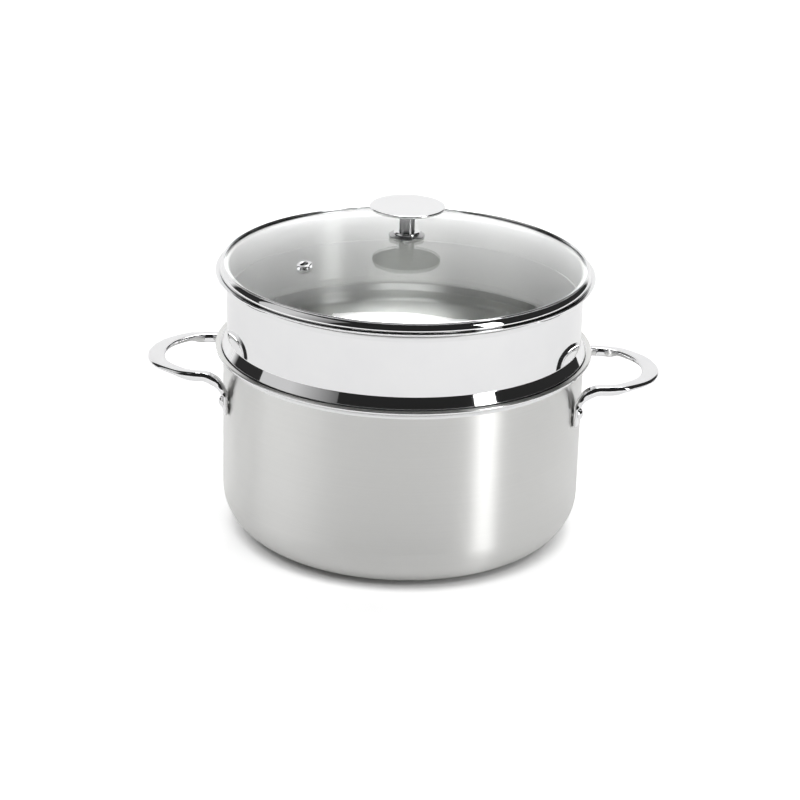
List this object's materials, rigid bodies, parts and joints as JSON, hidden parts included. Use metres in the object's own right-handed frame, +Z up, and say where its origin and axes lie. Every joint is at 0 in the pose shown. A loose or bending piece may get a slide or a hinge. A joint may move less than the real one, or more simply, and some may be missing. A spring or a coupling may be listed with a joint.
{
  "type": "steamer pot",
  "caption": "Round stainless steel pot with loop handles, a steamer insert that hangs in its flared lip, and a domed glass lid with a disc knob.",
  "frame": {"origin": "on the table under the middle of the pot's base", "axes": "+Z up, X through the two handles"},
  "size_m": [0.3482, 0.2556, 0.2289],
  "materials": {
    "brushed_steel": "satin brushed stainless steel",
    "polished_steel": "mirror polished stainless steel",
    "lid_glass": "clear tempered glass",
    "seal": "matt black silicone"
  },
  "bodies": {
    "pot": {"pot_body": "brushed_steel", "handle_left": "polished_steel", "handle_right": "polished_steel", "rivet_left_front": "polished_steel", "rivet_left_back": "polished_steel", "rivet_right_front": "polished_steel", "rivet_right_back": "polished_steel"},
    "steamer": {"steamer_insert": "polished_steel"},
    "lid": {"lid_glass": "lid_glass", "lid_band": "polished_steel", "vent_eyelet": "polished_steel", "seal_upper": "seal", "knob_dish": "polished_steel", "knob_collar": "polished_steel", "knob_stem": "polished_steel", "knob_disc": "brushed_steel", "seal_lower": "seal", "lid_washer": "polished_steel", "lid_screw": "polished_steel"}
  },
  "joints": [
    {"name": "steamer_lift", "type": "slide", "parent": "pot", "child": "steamer", "axis": [0, 0, 1], "range_m": [0, 0.15]},
    {"name": "lid_lift", "type": "slide", "parent": "steamer", "child": "lid", "axis": [0, 0, 1], "range_m": [0, 0.15]}
  ]
}
